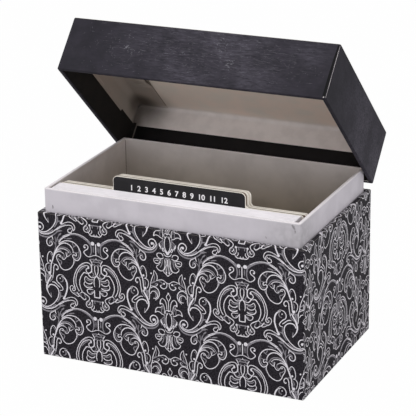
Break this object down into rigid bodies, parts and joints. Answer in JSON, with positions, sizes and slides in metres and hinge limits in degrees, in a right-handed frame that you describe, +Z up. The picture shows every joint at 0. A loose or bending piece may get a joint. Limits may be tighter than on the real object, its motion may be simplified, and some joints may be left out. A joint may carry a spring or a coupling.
{
  "type": "index card box with hinged lid",
  "caption": "Wrapped board card box with a raised neck, a paper-hinged lid standing open, a stack of index cards and tabbed dividers inside.",
  "frame": {"origin": "centre of the base's underside, on the surface it stands on", "axes": "+X along the front to its right end, +Y from the front to the hinged back, +Z up"},
  "size_m": [0.1668, 0.1354, 0.1935],
  "materials": {
    "damask_paper": "matte, printed",
    "black_paper": "matte, fine felt grain",
    "black_strip": "matte",
    "grey_paper": "matte",
    "grey_lining": "matte",
    "grey_board": "raw greyboard",
    "brown_tape": "gummed kraft",
    "white_card": "smooth uncoated",
    "cream_card": "smooth uncoated",
    "black_label": "matte, printed"
  },
  "bodies": {
    "base": {"base_bottom_sheet": "black_paper", "base_floor_board": "grey_board", "base_floor_lining": "grey_lining", "base_front_board": "grey_board", "base_back_board": "grey_board", "base_left_board": "grey_board", "base_right_board": "grey_board", "base_corner_stays": "brown_tape", "base_wrap": "damask_paper", "neck_front_board": "grey_board", "neck_back_board": "grey_board", "neck_left_board": "grey_board", "neck_right_board": "grey_board", "neck_wrap": "grey_paper", "hinge_strip_base_leaf": "black_strip"},
    "lid": {"lid_top_board": "grey_board", "lid_front_board": "grey_board", "lid_back_board": "grey_board", "lid_left_board": "grey_board", "lid_right_board": "grey_board", "lid_corner_stays": "brown_tape", "lid_lining": "grey_lining", "lid_wrap": "black_paper", "hinge_strip_lid_leaf": "black_strip"},
    "card_pack": {"index_cards": "white_card"},
    "front_divider": {"divider_front": "cream_card", "tab_label": "black_label"},
    "middle_divider": {"divider_middle": "cream_card"},
    "rear_divider": {"divider_rear": "cream_card"}
  },
  "joints": [
    {"name": "lid_hinge", "type": "hinge", "parent": "base", "child": "lid", "pos_m": [0, 0.0589, 0.0897], "axis": [-1, 0, 0], "range_deg": [-43, 52]},
    {"name": "card_pack_lift", "type": "slide", "parent": "base", "child": "card_pack", "axis": [0, 0, 1], "range_m": [0, 0.01]},
    {"name": "rear_divider_lean", "type": "hinge", "parent": "base", "child": "rear_divider", "pos_m": [0, -0.0329, 0.00225], "axis": [-1, 0, 0], "range_deg": [0, 40]},
    {"name": "middle_divider_lean", "type": "hinge", "parent": "base", "child": "middle_divider", "pos_m": [0, -0.035, 0.00225], "axis": [-1, 0, 0], "range_deg": [0, 36]},
    {"name": "front_divider_lean", "type": "hinge", "parent": "base", "child": "front_divider", "pos_m": [0, -0.0371, 0.00225], "axis": [-1, 0, 0], "range_deg": [0, 32]}
  ],
  "couplings": [
    {"joint": "middle_divider_lean", "follows": "rear_divider_lean", "ratio": 0.9},
    {"joint": "front_divider_lean", "follows": "rear_divider_lean", "ratio": 0.8}
  ]
}
